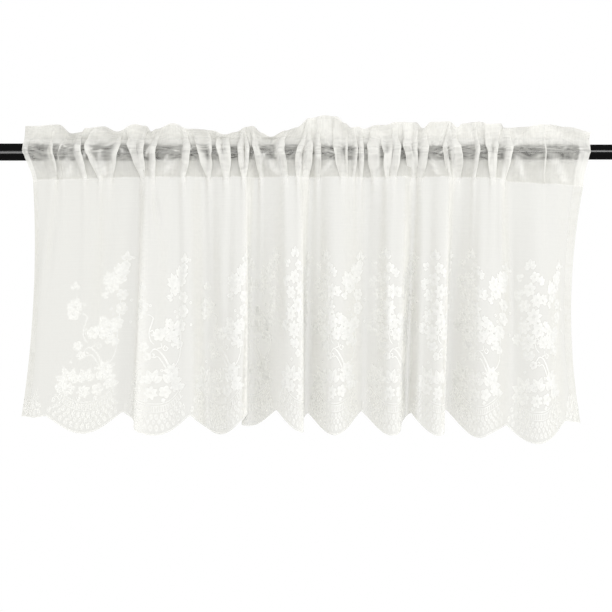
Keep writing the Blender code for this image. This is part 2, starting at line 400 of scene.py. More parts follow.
def pocket_section(x, low_depth, low_z, share):
    """The pocket's section around the rod, as depth and height, with their outward normal.

    share is 0 at the stitch under the rod and 1 at the one above it: a straight run up to
    the tube, an arc around it, and a straight run up to the upper stitch.
    """
    radius = tube_radius(x) + POCKET_GAP
    low_angle = np.pi - np.arccos(np.clip(radius / -low_z, -1, 1))
    high_angle = np.arccos(radius / RUFFLE_STITCH_HEIGHT)
    first = np.clip(share / POCKET_STRAIGHT, 0, 1)
    second = np.clip((share - POCKET_STRAIGHT) / POCKET_ARC, 0, 1)
    third = share - POCKET_STRAIGHT - POCKET_ARC
    third = np.clip(third / (1 - POCKET_STRAIGHT - POCKET_ARC), 0, 1)
    angle = mix(low_angle, high_angle, second)
    depth, height = radius * np.sin(angle), radius * np.cos(angle)
    depth = np.where(share < POCKET_STRAIGHT, mix(low_depth, depth, first), depth)
    height = np.where(share < POCKET_STRAIGHT, mix(low_z, height, first), height)
    depth = np.where(third > 0, mix(depth, 0.0, third), depth)
    height = np.where(third > 0, mix(height, RUFFLE_STITCH_HEIGHT, third), height)
    return depth, height, np.sin(angle), np.cos(angle)


def heading_x(scallop):
    index, share = flank_at(scallop)
    return between("top_x", index, share)


def pocket_point(scallop, share, side):
    """Points of the pocket, share 0 at the lower stitch and 1 at the upper one. side is 1 in
    front of the rod and -1 behind it."""
    even_x = leaning(heading_x(scallop), share)
    index, fold_share = flank_at(scallop)
    flare = end_flare(scallop) * eased(np.array(share * END_FLARE_RISE))
    ends = min(share, 1 - share)
    pinch = mix(STITCH_PINCH, 1.0, eased(ends * FREEING_PINCH)) * (1.0 if side > 0 else BACK_PINCH)
    slack = mix(STITCH_SLACK, 1.0, eased(ends * FREEING_SLACK)) * (1.0 if side > 0 else BACK_SLACK)
    shift, height = gathered(even_x, share, pinch, slack)
    if side > 0:
        height = height + crinkled(even_x, share)
    low_depth = side * between("top_depth", index, fold_eased(index, fold_share)) * MM
    depth, z, out, up = pocket_section(even_x * MM, low_depth, -stitch_drop(scallop), share)
    depth = depth + height * out
    return stacked(even_x * MM + flare + shift, -side * depth, z + height * up * UPWARDS)


def ruffle_top(x):
    """Height of the ruffle's edge at x in millimetres, eased between the table's rows."""
    index = np.clip(np.searchsorted(RUFFLE_X, x, side="right") - 1, 0, len(RUFFLE_TOP) - 2)
    share = (x - RUFFLE_X[index]) / (RUFFLE_X[index + 1] - RUFFLE_X[index])
    return mix(RUFFLE_HEIGHT[index], RUFFLE_HEIGHT[index + 1], eased(share)) * MM


def ruffle_point(scallop, share, behind):
    """Points of the ruffle, share 0 at its stitch and 1 at its edge. behind is its back layer."""
    level = 1 + share * RUFFLE_LENGTH / MM / POCKET_LENGTH
    even_x = leaning(heading_x(scallop), level)
    shift, height = gathered(even_x, level, mix(STITCH_PINCH, EDGE_PINCH, share),
                             mix(STITCH_SLACK, EDGE_SLACK, share))
    x = even_x * MM + end_flare(scallop) + shift
    rise = ruffle_top(x / MM) - RUFFLE_STITCH_HEIGHT
    lean = np.sqrt(np.clip(RUFFLE_LENGTH ** 2 - rise ** 2, 0, None)) * RUFFLE_LEAN
    wave = sum(tall * np.sin(x / long + turn * share) for tall, long, turn in RUFFLE_WAVES)
    gap = behind * RUFFLE_GAP * math.sqrt(max(1 - share ** RUFFLE_CLOSING, 0))
    depth = height + (lean + wave) * share ** RUFFLE_CURL - gap
    return stacked(x, -depth - crinkled(even_x, level), RUFFLE_STITCH_HEIGHT + rise * share)


def wrinkle(x, level, fold):
    """Height of one wrinkle of the heading, in millimetres."""
    across = x - fold.x
    along = (level - fold.level) * POCKET_LENGTH
    wide = across * math.cos(fold.turn) - along * math.sin(fold.turn)
    long = across * math.sin(fold.turn) + along * math.cos(fold.turn)
    return fold.height * np.exp(-((wide / fold.width) ** 2) - (long / fold.length) ** 2)


def wrinkled(x, level):
    """Heights of the small sharp wrinkles around the rod and of the wide soft ones, in
    millimetres. Both ends of the heading lie calmer."""
    sharp = sum(wrinkle(x, level, fold) for fold in CRINKLES)
    busy = eased((x - CALM_ENDS[0]) / CALM_FADE) * eased((CALM_ENDS[1] - x) / CALM_FADE)
    soft = sum(wrinkle(x, level, fold) for fold in HEADING_FOLDS)
    return sharp * mix(CALM_SHARE, 1.0, busy), soft


def crinkled(x, level):
    """Height of all the wrinkles around the rod, in metres."""
    return np.maximum(sum(wrinkled(x, level)), -CRINKLE_DIP) * MM


# Meshes

def add_object(name, data, location=(0, 0, 0)):
    item = bpy.data.objects.new(name, data)
    item.location = location
    bpy.context.scene.collection.objects.link(item)
    return item


def new_mesh_object(name, points, faces, uvs=None, sharp=None):
    """A smooth mesh, but for its edges that turn by more than sharp degrees."""
    mesh = bpy.data.meshes.new(name)
    mesh.from_pydata([tuple(point) for point in points], [], faces)
    if uvs is not None:
        layer = mesh.uv_layers.new(name="flat cloth")
        indices = np.empty(len(mesh.loops), int)
        mesh.loops.foreach_get("vertex_index", indices)
        layer.data.foreach_set("uv", np.asarray(uvs, float)[indices].ravel())
    mesh.shade_smooth()
    if sharp:
        mesh.set_sharp_from_angle(angle=math.radians(sharp))
    return add_object(name, mesh)


def grid_faces(rows, columns, start=0, ring=False):
    """Faces of a grid of points. In a ring its last row joins the first one."""
    return [
        (start + r * columns + c, start + r * columns + c + 1,
         start + (r + 1) % rows * columns + c + 1, start + (r + 1) % rows * columns + c)
        for r in range(rows if ring else rows - 1) for c in range(columns - 1)
    ]


def cloth_length(scallop):
    return hem_drop(scallop) - stitch_drop(scallop)


def pressed_and_painted_light(x, level, share):
    """How tightly the cloth is gathered, from 0 to 1, for the closer look of its threads. The same
    share paints the gathered bands lighter, partly as painted light.
    """
    return share * np.clip(gathered(x, level, 1.0, 1.0)[1] / (PRESSED_HEIGHT * MM), 0, 1)


def in_side_hem(scallop):
    """1 on the turned edges at both sides and 0 between them."""
    inwards = np.minimum(scallop - FIRST_SCALLOP, LAST_SCALLOP - scallop) * SCALLOP_WIDTH
    return eased((SIDE_HEM_WIDTH - inwards) / SIDE_HEM_SOFTNESS + 0.5)


def painted_edge_highlight(scallop, down):
    """Painted highlight along the edges where a fold doubles back, from 0 to 1: the cloth there is
    painted lighter and its cover raised.
    """
    total = np.zeros(np.shape(scallop))
    for fold, after in zip(FOLDS, FOLDS[1:]):
        falling = after.hem_depth < fold.hem_depth
        edge = mix(fold.scallop, after.scallop, EDGE_PLACE if falling else 1 - EDGE_PLACE)
        strength = min(fold.overhang / EDGE_OVERHANG, 1)
        total = np.maximum(total, strength * np.exp(-(((scallop - edge) / EDGE_WIDTH) ** 2)))
    return EDGE_PAINTED_HIGHLIGHT * total * fold_opening(down)


def ridge_highlights(x, level):
    """Painted highlight on the wrinkles' ridges, from 0 to 1: they are painted lighter and made
    denser. The sharp ones end above the lower stitch.
    """
    sharp, soft = wrinkled(x, level)
    height = sharp * eased((level - SHARP_START) / SHARP_SPAN) + soft * eased(level / SOFT_SPAN)
    return RIDGE_PAINTED_HIGHLIGHT * np.clip(height / RIDGE_HEIGHT, 0, 1)


def build_cloth():
    """The whole cut length: body, front of the pocket, ruffle, its turned edge and the back.

    Also gives, for each point, how tightly it is gathered with the painted light added to that, and
    whether the rod is behind it.
    """
    coarse = round((LAST_SCALLOP - FIRST_SCALLOP) * COLUMNS_PER_SCALLOP)
    fine_columns = np.linspace(FIRST_SCALLOP, LAST_SCALLOP, 2 * coarse + 1)
    body_columns = fine_columns[::2]
    body_x, fine_x = heading_x(body_columns), heading_x(fine_columns)
    body_hem, fine_hem = in_side_hem(body_columns), in_side_hem(fine_columns)
    rows = []

    for down in np.linspace(1, 0, BODY_ROWS + 1)[:-1]:
        points = body_point(body_columns, np.full_like(body_columns, down))
        at_stitch = STITCH_PRESSED * math.exp(-down / STITCH_PRESSED_FADE)
        tight_and_painted_light = np.maximum(pressed_and_painted_light(body_x, 0.0, at_stitch), HEM_PRESSED * body_hem)
        # Painted highlight along the fold edges that double back
        tight_and_painted_light = np.maximum(tight_and_painted_light, painted_edge_highlight(body_columns, down))
        rows.append((points, -cloth_length(body_columns) * down, tight_and_painted_light))

    arc_end = POCKET_STRAIGHT + POCKET_ARC
    shares = np.concatenate([
        np.linspace(0, POCKET_STRAIGHT, STRAIGHT_ROWS, endpoint=False),
        np.linspace(POCKET_STRAIGHT, arc_end, ARC_ROWS, endpoint=False),
        np.linspace(arc_end, 1.0, SHOULDER_ROWS, endpoint=False),
    ])
    pocket_length = POCKET_LENGTH * MM
    # Painted lighter from left to right, as painted light from the key light on the right
    ruffle_tight_and_painted_light = np.linspace(*RUFFLE_PRESSED_AND_PAINTED_LIGHT, len(fine_x))
    for share in shares:
        plain = mix(HEADING_PRESSED, ruffle_tight_and_painted_light, eased((share - SHOULDER_START) / SHOULDER_SPAN))
        plain = np.maximum(plain, HEADING_HEM_PRESSED * fine_hem)
        lean_x = leaning(fine_x, share)
        tight_and_painted_light = np.maximum(pressed_and_painted_light(lean_x, share, 1.0), plain)
        # Painted highlight on the wrinkle ridges
        tight_and_painted_light = np.maximum(tight_and_painted_light, plain + ridge_highlights(lean_x, share))
        rows.append((pocket_point(fine_columns, share, 1), share * pocket_length, tight_and_painted_light))
    for share in np.linspace(0, 1, RUFFLE_ROWS):
        flat = pocket_length + share * RUFFLE_LENGTH
        tight_and_painted_light = np.maximum(pressed_and_painted_light(leaning(fine_x, 1.0), 1.0, 1 - share), ruffle_tight_and_painted_light)
        rows.append((ruffle_point(fine_columns, share, 0), flat, tight_and_painted_light))
    for share in np.linspace(1, 0, RUFFLE_ROWS)[1:-1:BACK_EVERY]:
        flat = pocket_length + (2 - share) * RUFFLE_LENGTH
        rows.append((ruffle_point(fine_columns, share, 1), flat, ruffle_tight_and_painted_light))
    for share in [*shares[::-1][:-1:BACK_EVERY], 0.0]:
        flat = (2 - share) * pocket_length + 2 * RUFFLE_LENGTH
        rows.append((pocket_point(fine_columns, share, -1), flat, ruffle_tight_and_painted_light))

    wide, fine, start = len(body_columns), len(fine_columns), BODY_ROWS * len(body_columns)
    last_body = start - wide
    faces = grid_faces(BODY_ROWS, wide)
    for c in range(wide - 1):
        faces.append((last_body + c, last_body + c + 1, start + 2 * c + 2,
                      start + 2 * c + 1, start + 2 * c))
    faces += grid_faces(len(rows) - BODY_ROWS, fine, start)

    uvs = []
    for points, flat, _ in rows:
        columns = body_columns if len(points) == wide else fine_columns
        uvs.append(stacked(columns * SCALLOP_WIDTH, flat))
    uvs = np.concatenate(uvs)
    in_pocket = (eased((uvs[:, 1] - ROD_FLAT[0]) / ROD_SOFTNESS)
                 * eased((ROD_FLAT[1] - uvs[:, 1]) / ROD_SOFTNESS))
    points = np.concatenate([points for points, _, _ in rows])
    cloth = new_mesh_object("curtain_cloth", points, faces, uvs, sharp=60)
    return cloth, np.concatenate([tight_and_painted_light for _, _, tight_and_painted_light in rows]), in_pocket


def store(item, name, values):
    """Keeps a number for each point of the mesh, for its material to read."""
    values = np.broadcast_to(values, len(item.data.vertices)).astype(float)
    item.data.attributes.new(name, "FLOAT", "POINT").data.foreach_set("value", values)


# Slabs: thin closed pieces drawn flat in millimetres and then laid on the hanging cloth

# Half a slab's thickness, and how much thicker the next ones are so that no faces coincide
SLAB_HALF = 0.28
SLAB_STEP = 0.03
SLAB_LAYERS = 5
NORMAL_STEP = 0.004
CURVE_STEPS = 4

# Where the lace lies in shade, deep in the folds, turned to the left away from the key light and
# near the left side, it is made fainter and painted lighter, as painted light
SHADE_DEPTH = 0.025
SHADE_TURN = 1.2
SHADE_LEFT = 0.85

LEAF_STEPS = 6
LEAF_SLIT = 0.25
LEAF_BLUNTNESS = 0.85
LEAF_EDGE = 0.12
SPRAY_HOLLOW = 0.16
SPRAY_SHORTENING = 0.3
PETAL_STEPS = 4
PETAL_START = 0.19
PETAL_SWELL = (0.12, 0.70)
PETAL_FULLNESS = 0.80
PETAL_BULGE = 0.06
EYE_RING = (0.08, 0.17)
BUD_HOLE = 0.35
RING_SIDES = 8


class Slabs:
    """Collects thin closed slabs. Each is a grid of flat places, x along the hem and height."""

    def __init__(self):
        self.places = []
        self.fronts = []
        self.faces = []
        self.count = 0

    def add(self, grid, ring=False):
        grid = np.asarray(grid, float)
        rows, columns = grid.shape[:2]
        flat = grid.reshape(-1, 2)
        size = len(flat)
        quads = grid_faces(rows, columns, ring=ring)
        corners = flat[np.array(quads)]
        after = np.roll(corners, -1, axis=1)
        area = (corners[..., 0] * after[..., 1] - corners[..., 1] * after[..., 0]).sum()
        if area < 0:
            quads = [quad[::-1] for quad in quads]
        edges = {(quad[i], quad[(i + 1) % 4]) for quad in quads for i in range(4)}
        rim = [(b, a, a + size, b + size) for a, b in sorted(edges) if (b, a) not in edges]
        back = [tuple(index + size for index in quad[::-1]) for quad in quads]
        half = SLAB_HALF + SLAB_STEP * (len(self.faces) % SLAB_LAYERS)
        self.faces.append(np.array(quads + back + rim) + self.count)
        self.places += [flat, flat]
        self.fronts += [np.full(size, half), np.full(size, -half)]
        self.count += 2 * size

    def arrays(self):
        return np.concatenate(self.places), np.concatenate(self.fronts), np.concatenate(self.faces)


def stitch_height(scallop):
    """Height of the stitch under the rod over the line of the hem's valleys, along the cloth."""
    return cloth_length(scallop) - scallop_drop(scallop)


def on_cloth(flat_x, height, front):
    """Places on the hanging cloth and its normals there. All in metres: flat_x along the hem,
    height over the line of the hem's valleys, front the distance towards the viewer."""
    scallop = flat_x / SCALLOP_WIDTH
    down = (stitch_height(scallop) - height) / cloth_length(scallop)
    across = body_point(scallop + NORMAL_STEP, down) - body_point(scallop - NORMAL_STEP, down)
    along = body_point(scallop, down + NORMAL_STEP) - body_point(scallop, down - NORMAL_STEP)
    normal = np.cross(along, across)
    normal /= np.linalg.norm(normal, axis=-1, keepdims=True)
    return body_point(scallop, down) + normal * np.asarray(front)[..., None], normal


def near_left(x):
    """Goes from 1 at the curtain's left side to 0 some folds further on."""
    near, far = LEFT_ACROSS
    return 1 - eased((x - near) / (far - near))


def in_shade(points, normals):
    """How far the lace lies in shade, from 0 to 1: far back, turned to the left away from the key
    light, or near the left side. The lace is made fainter and painted lighter there.
    """
    deep = points[:, 1] / SHADE_DEPTH - SHADE_TURN * normals[:, 0]
    return np.clip(np.maximum(deep, SHADE_LEFT * near_left(points[:, 0])), 0, 1)


def lay_slabs(name, slabs, scallops=(0,)):
    """Lays the same flat slabs on the cloth, once for each scallop's centre given."""
    places, fronts, faces = slabs.arrays()
    points, quads, uvs, shade_shares = [], [], [], []
    for index, scallop in enumerate(scallops):
        flat = places * MM + [scallop * SCALLOP_WIDTH, 0]
        laid, normals = on_cloth(flat[:, 0], flat[:, 1], fronts * MM)
        points.append(laid)
        shade_shares.append(in_shade(laid, normals))
        uvs.append(flat)
        quads.append(faces + index * len(places))
    item = new_mesh_object(name, np.concatenate(points), np.concatenate(quads).tolist(),
                           np.concatenate(uvs), sharp=50)
    store(item, "in_shade", np.concatenate(shade_shares))
    return item


def turned(x, y, turn):
    """A flat step of x forwards and y to the left, in the direction turn, in degrees."""
    cosine, sine = math.cos(math.radians(turn)), math.sin(math.radians(turn))
    return np.array([x * cosine - y * sine, x * sine + y * cosine])


def add_leaf(slabs, x, height, turn, length, width, bend=0.0):
    """A pointed leaf in two halves with a slit for its midrib."""
    for side in (-1, 1):
        grid = []
        for step in range(LEAF_STEPS + 1):
            share = step / LEAF_STEPS
            swell = math.sin(math.pi * share ** LEAF_BLUNTNESS) ** LEAF_BLUNTNESS
            half = width / 2 * swell + LEAF_EDGE
            gap = LEAF_SLIT * (1 - share)
            middle = bend * math.sin(math.pi * share)
            ends = (gap, gap + half)
            grid.append([turned(length * share, middle + side * end, turn) for end in ends])
        slabs.add(np.array(grid) + [x, height])


def add_flower(slabs, x, height, radius, petals, turn, pointed=0.0):
    """Round or pointed petals around a small ring."""
    for petal in range(petals):
        heading = turn + 360 * petal / petals
        grid = []
        for step in range(PETAL_STEPS + 1):
            share = step / PETAL_STEPS
            swell = math.sin(math.pi * (PETAL_SWELL[0] + PETAL_SWELL[1] * share))
            swell *= 1 - pointed * share ** 2
            half = radius * math.sin(math.pi / petals) * PETAL_FULLNESS * swell
            reach = radius * mix(PETAL_START, 1, share)
            bulge = radius * PETAL_BULGE * share
            grid.append([turned(reach, -half, heading), turned(reach + bulge, 0, heading),
                         turned(reach, half, heading)])
        slabs.add(np.array(grid) + [x, height])
    add_ring(slabs, x, height, radius * EYE_RING[0], radius * EYE_RING[1])


def add_ring(slabs, x, height, inner, outer, squeeze=1.0, turn=0.0):
    grid = []
    for side in range(RING_SIDES):
        angle = 2 * math.pi * side / RING_SIDES
        grid.append([
            turned(radius * squeeze * math.cos(angle), radius * math.sin(angle), turn)
            for radius in (inner, outer)
        ])
    slabs.add(np.array(grid) + [x, height], ring=True)


def curve_through(route):
    """Places along a smooth curve through the route's own places."""
    route = np.asarray(route, float)
    padded = np.vstack([2 * route[0] - route[1], route, 2 * route[-1] - route[-2]])
    places = []
    for index in range(1, len(route)):
        before, start, end, after = padded[index - 1:index + 3]
        for step in range(CURVE_STEPS):
            t = step / CURVE_STEPS
            places.append(0.5 * (2 * start + (end - before) * t
                                 + (2 * before - 5 * start + 4 * end - after) * t ** 2
                                 + (3 * start - before - 3 * end + after) * t ** 3))
    places.append(route[-1])
    return np.array(places)


def add_ribbon(slabs, places, start_width, end_width):
    """A flat stem that follows the places and narrows or widens on the way."""
    places = np.asarray(places, float)
    heading = np.gradient(places, axis=0)
    heading /= np.linalg.norm(heading, axis=1, keepdims=True)
    aside = np.stack([-heading[:, 1], heading[:, 0]], -1)
    half = np.linspace(start_width, end_width, len(places))[:, None] / 2
    slabs.add(np.stack([places - aside * half, places + aside * half], 1))


# Lace figures above each scallop, in millimetres from its centre and from the valleys' line.
# A spray is a fan of leaves with the longest one in its middle: place, direction and spread
# in degrees, number of leaves, length and width.
SPRAYS = (
    (-25, 44, 112, 140, 5, 30, 10), (-2, 46, 95, 110, 4, 25, 9), (22, 45, 58, 130, 5, 27, 9.5),
    (-35, 38, 160, 90, 3, 13, 6.5), (37, 42, 15, 90, 3, 11, 6.5), (12, 116, 40, 150, 5, 19, 8),
    (28, 124, 20, 170, 5, 17, 8), (24, 108, -20, 100, 3, 13, 6.5), (38, 116, 175, 110, 4, 19, 8),
    (42, 110, 240, 60, 3, 15, 7), (29, 190, 112, 120, 5, 20, 8.5), (41, 200, 75, 100, 5, 23, 8.5),
    (50, 222, 88, 110, 3, 15, 6.5), (26, 172, 170, 90, 3, 12, 6.5), (-8, 24, 200, 40, 2, 10, 5),
    (9, 24, 340, 40, 2, 10, 5),
)
# Place, radius, number of petals, turn in degrees, and how pointed the petals are
FLOWERS = (
    (-27, 38, 9.5, 6, 10, 0.3), (-5, 33, 10, 7, 30, 0.5), (15, 35, 9, 5, 0, 0.2),
    (31, 43, 8, 6, 20, 0.3), (25, 65, 12, 7, 20, 0.5), (-16, 100, 7, 5, 0, 0),
    (-11, 86, 6, 5, 36, 0), (5, 118, 9, 6, 54, 0), (20, 135, 7, 5, 0, 0),
    (40, 131, 9.5, 6, 15, 0), (46, 152, 9, 5, 0, 0), (30, 186, 10.5, 6, 30, 0),
    (43, 197, 8.5, 5, 50, 0), (46, 172, 8.5, 6, 0, 0), (49, 215, 7, 5, 10, 0),
)
# Width at the start and at the end, and the places that the stem goes through
SCROLLS = (
    (1.6, 3.0, ((-6, 92), (-1, 97), (6, 94), (14, 84), (21, 71))),
    (1.4, 2.4, ((-2, 84), (4, 86), (10, 79), (16, 69))),
    (1.2, 1.8, ((-6, 92), (-7, 87), (-3, 85), (-1, 89), (-4, 90))),
    (1.4, 2.2, ((-2, 104), (-7, 110), (-9, 121), (-6, 132), (-3, 142))),
    (1.2, 1.6, ((-9, 121), (-4, 124), (-2, 119), (-5, 116), (-6, 119))),
    (1.2, 1.6, ((14, 103), (11, 98), (15, 95), (18, 99), (15, 101))),
    (1.4, 1.4, ((-3, 142), (-8, 146), (-16, 148), (-19, 158), (-20, 174))),
    (1.4, 1.8, ((30, 72), (36, 80), (40, 92), (41, 108), (41, 122))),
    (1.4, 1.2, ((41, 134), (44, 150), (43, 168), (39, 188), (46, 206), (51, 224))),
    (1.2, 1.6, ((8, 106), (9, 100), (3, 98))),
)
# Place and radius of the buds
STEM_BUDS = (
    (-36, 50, 2.6), (38, 54, 2.6), (-25, 77, 2.4), (10, 66, 2.4), (38, 70, 2.2),
    (34, 144, 2.2), (60, 132, 2.2), (30, 152, 2.4), (60, 164, 2.4), (26, 184, 2.2),
    (-32, 156, 2.2), (-8, 160, 2.2), (46, 228, 2.2), (60, 226, 2.2), (16, 140, 2.2),
)

# The end of the branch, on the first scallops
BRANCH_SPRAYS = (
    (-22, 156, 90, 210, 6, 16, 8), (-22, 182, 90, 90, 3, 13, 6.5),
)
BRANCH_FLOWERS = (
    (-24, 147, 9, 5, 18, 0),
)

# A bouquet in its place, on the scallops from the fourth one on
BOUQUET_START = 3
BOUQUET_SPRAYS = (
    (-33, 126, 175, 120, 5, 15, 8), (6, 140, 10, 120, 5, 15, 8), (2, 178, 25, 110, 4, 15, 7.5),
    (-31, 188, 150, 120, 5, 15, 8), (-4, 204, 45, 100, 4, 14, 7), (-18, 226, 90, 120, 5, 16, 7.5),
    (-20, 106, 262, 130, 5, 13, 7.5), (-30, 214, 150, 100, 3, 12, 6.5),
)
BOUQUET_FLOWERS = (
    (-20, 120, 13, 8, 0, 0.5), (-3, 136, 11, 6, 12, 0.2), (-27, 143, 10.5, 7, 30, 0.5),
    (-11, 156, 13, 8, 8, 0.5), (-27, 174, 9.5, 6, 0, 0.3), (-6, 180, 11, 7, 26, 0.5),
    (-19, 197, 10, 6, 15, 0.2), (-10, 214, 8, 5, 30, 0.3),
)


def add_spray(slabs, x, height, turn, fan, count, length, width):
    for leaf in range(count):
        place = 2 * leaf / (count - 1) - 1
        reach = length * (1 - SPRAY_SHORTENING * abs(place))
        heading = turn + place * fan / 2
        start = turned(reach * SPRAY_HOLLOW, 0, heading) + [x, height]
        add_leaf(slabs, *start, heading, reach * (1 - SPRAY_HOLLOW), width, -place)


def lay_figures(name, scallops, sprays=(), flowers=(), scrolls=(), buds=()):
    """Lays one drawing of figures over each of the scallops."""
    slabs = Slabs()
    for spray in sprays:
        add_spray(slabs, *spray)
    for flower in flowers:
        add_flower(slabs, *flower)
    for start_width, end_width, route in scrolls:
        add_ribbon(slabs, curve_through(route), start_width, end_width)
    for x, height, radius in buds:
        add_ring(slabs, x, height, radius * BUD_HOLE, radius)
    return lay_slabs(name, slabs, [scallop + 0.5 for scallop in scallops])


def build_figures():
    every = range(int(LAST_SCALLOP))
    first, others = every[:BOUQUET_START], every[BOUQUET_START:]
    return [
        lay_figures("lace_flowers", every, (), FLOWERS, SCROLLS, STEM_BUDS),
        lay_figures("lace_leaves", every, SPRAYS),
        lay_figures("lace_branches", first, BRANCH_SPRAYS, BRANCH_FLOWERS),
        lay_figures("lace_bouquets", others, BOUQUET_SPRAYS, BOUQUET_FLOWERS),
    ]


# The lace border between the bowl-shaped line over each scallop and the hem. Its rows are
# given in shares of its depth: bands and bars by their start and end, and eyelets by their
# place, their length in millimetres, and 1 where they stand between two cells.
BOWL_HALF_WIDTH = 40.0
BOWL_HEIGHT = 18.0
BOWL_RISE = 23.0
BOWL_CURVE = 2.4
BORDER_BANDS = ((0.0, 0.035), (0.075, 0.105), (0.26, 0.29), (0.945, 1.0))
BORDER_BARS = (0.10, 0.27)
BAR_WIDTH = 1.8
BAR_STEPS = 3
EYELETS = ((0.42, 10.0, 0), (0.58, 8.0, 1), (0.77, 10.0, 0))
EYELET_HOLE = 0.12
EYELET_SQUEEZE = 0.56
EYELET_HALF = 0.05
EYELET_AHEAD = 0.1
NET_CELLS = 13
BAND_STEPS = 44
EDGE_MARGIN = 0.02
VALLEY_MARGIN = 1e-6


def border_place(scallop, across, share):
    """A flat place in the border: across is -1 to 1 over a scallop, share 0 at its inner line."""
    flat_width = SCALLOP_WIDTH / MM
    inner_height = BOWL_HEIGHT + BOWL_RISE * abs(across) ** BOWL_CURVE
    place = scallop + 0.5 + across / 2
    place = min(max(place, scallop + VALLEY_MARGIN), scallop + 1 - VALLEY_MARGIN)
    outer_height = -float(scallop_drop(np.array(place))) / MM
    x = mix(BOWL_HALF_WIDTH * across, flat_width / 2 * across, share)
    return np.array([x + (scallop + 0.5) * flat_width, mix(inner_height, outer_height, share)])


def add_border_band(slabs, scallop, start, end):
    """A line along the border, between two shares of its depth, as far as the cloth reaches."""
    first = max(-1.0, 2 * (FIRST_SCALLOP + EDGE_MARGIN - scallop) - 1)
    last = min(1.0, 2 * (LAST_SCALLOP - EDGE_MARGIN - scallop) - 1)
    steps = math.ceil((last - first) * BAND_STEPS / 2)
    slabs.add([[border_place(scallop, a, start), border_place(scallop, a, end)]
               for a in np.linspace(first, last, steps + 1)])


def inside_cloth(scallop, across):
    first, last = (scallop + 0.5 + min(across) / 2), (scallop + 0.5 + max(across) / 2)
    return first >= FIRST_SCALLOP + EDGE_MARGIN and last <= LAST_SCALLOP - EDGE_MARGIN


def add_border_bar(slabs, scallop, across):
    """A bar of the border, from one of its lines to the next."""
    if inside_cloth(scallop, (across, across)):
        ends = [border_place(scallop, across, share) for share in BORDER_BARS]
        places = [mix(ends[0], ends[1], t) for t in np.linspace(0, 1, BAR_STEPS + 1)]
        add_ribbon(slabs, places, BAR_WIDTH, BAR_WIDTH)


def add_eyelet(slabs, scallop, across, share, length):
    """A long oval ring that points from the bowl's line to the hem."""
    if inside_cloth(scallop, (across - EYELET_HALF, across + EYELET_HALF)):
        place, ahead = (border_place(scallop, across, s) for s in (share, share + EYELET_AHEAD))
        turn = math.degrees(math.atan2(*(ahead - place)[::-1])) - 90
        add_ring(slabs, *place, length * EYELET_HOLE, length / 2, EYELET_SQUEEZE, turn)


def build_border():
    slabs = Slabs()
    for scallop in range(-1, int(LAST_SCALLOP) + 1):
        for start, end in BORDER_BANDS:
            add_border_band(slabs, scallop, start, end)
        for cell in range(NET_CELLS):
            left, right = (2 * cell / NET_CELLS - 1, 2 * (cell + 1) / NET_CELLS - 1)
            sides = (left, (left + right) / 2)
            for across in sides:
                add_border_bar(slabs, scallop, across)
            for share, length, side in EYELETS:
                add_eyelet(slabs, scallop, sides[side], share, length)
    return lay_slabs("lace_border", slabs)


# Side hems and stitching

SIDE_HEM_COLUMNS = 8
SIDE_HEM_ROWS = 90
SIDE_HEM_GAP = 0.0005
STITCH_PITCH = 3.0
STITCH_LENGTH = 2.1
STITCH_WIDTH = 0.45


def build_side_hems():
    """The turned edges at both sides, behind the cloth."""
    points, faces, uvs = [], [], []
    for edge in (FIRST_SCALLOP, LAST_SCALLOP - SIDE_HEM_WIDTH / SCALLOP_WIDTH):
        columns = np.linspace(edge, edge + SIDE_HEM_WIDTH / SCALLOP_WIDTH, SIDE_HEM_COLUMNS)
        columns, rows = np.meshgrid(columns, np.linspace(1.0, 0.0, SIDE_HEM_ROWS))
        height = stitch_height(columns.ravel()) - rows.ravel() * cloth_length(columns.ravel())
        flat_x = columns.ravel() * SCALLOP_WIDTH
        faces += grid_faces(SIDE_HEM_ROWS, SIDE_HEM_COLUMNS, len(points) and len(points[0]))
        points.append(on_cloth(flat_x, height, np.full(len(flat_x), -SIDE_HEM_GAP))[0])
        uvs.append(np.stack([flat_x, height], -1))
    return new_mesh_object("side_hems", np.concatenate(points), faces, np.concatenate(uvs))


def build_stitching():
    """Rows of stitches under the pocket and along both side hems."""
    slabs = Slabs()
    first, last = FIRST_SCALLOP * SCALLOP_WIDTH / MM, LAST_SCALLOP * SCALLOP_WIDTH / MM
    for start in np.arange(first + 1, last - STITCH_PITCH, STITCH_PITCH):
        ends = np.linspace(start, start + STITCH_LENGTH, 3)
        tops = stitch_height(ends * MM / SCALLOP_WIDTH) / MM - STITCH_WIDTH / 2
        slabs.add([[(x, top - STITCH_WIDTH), (x, top)] for x, top in zip(ends, tops)])
    for middle in (first + SIDE_HEM_WIDTH / MM - 1, last - SIDE_HEM_WIDTH / MM + 1):
        top = float(stitch_height(middle * MM / SCALLOP_WIDTH)) / MM
        for start in np.arange(-2.0, top - STITCH_PITCH, STITCH_PITCH):
            slabs.add([[(middle - STITCH_WIDTH / 2, height), (middle + STITCH_WIDTH / 2, height)]
                       for height in (start, start + STITCH_LENGTH)])
    return lay_slabs("stitching", slabs)


# Rod

TUBE_WALL = 0.001
END_THICKNESS = 0.003
EDGE = 0.0005
TUBE_SIDES = 96


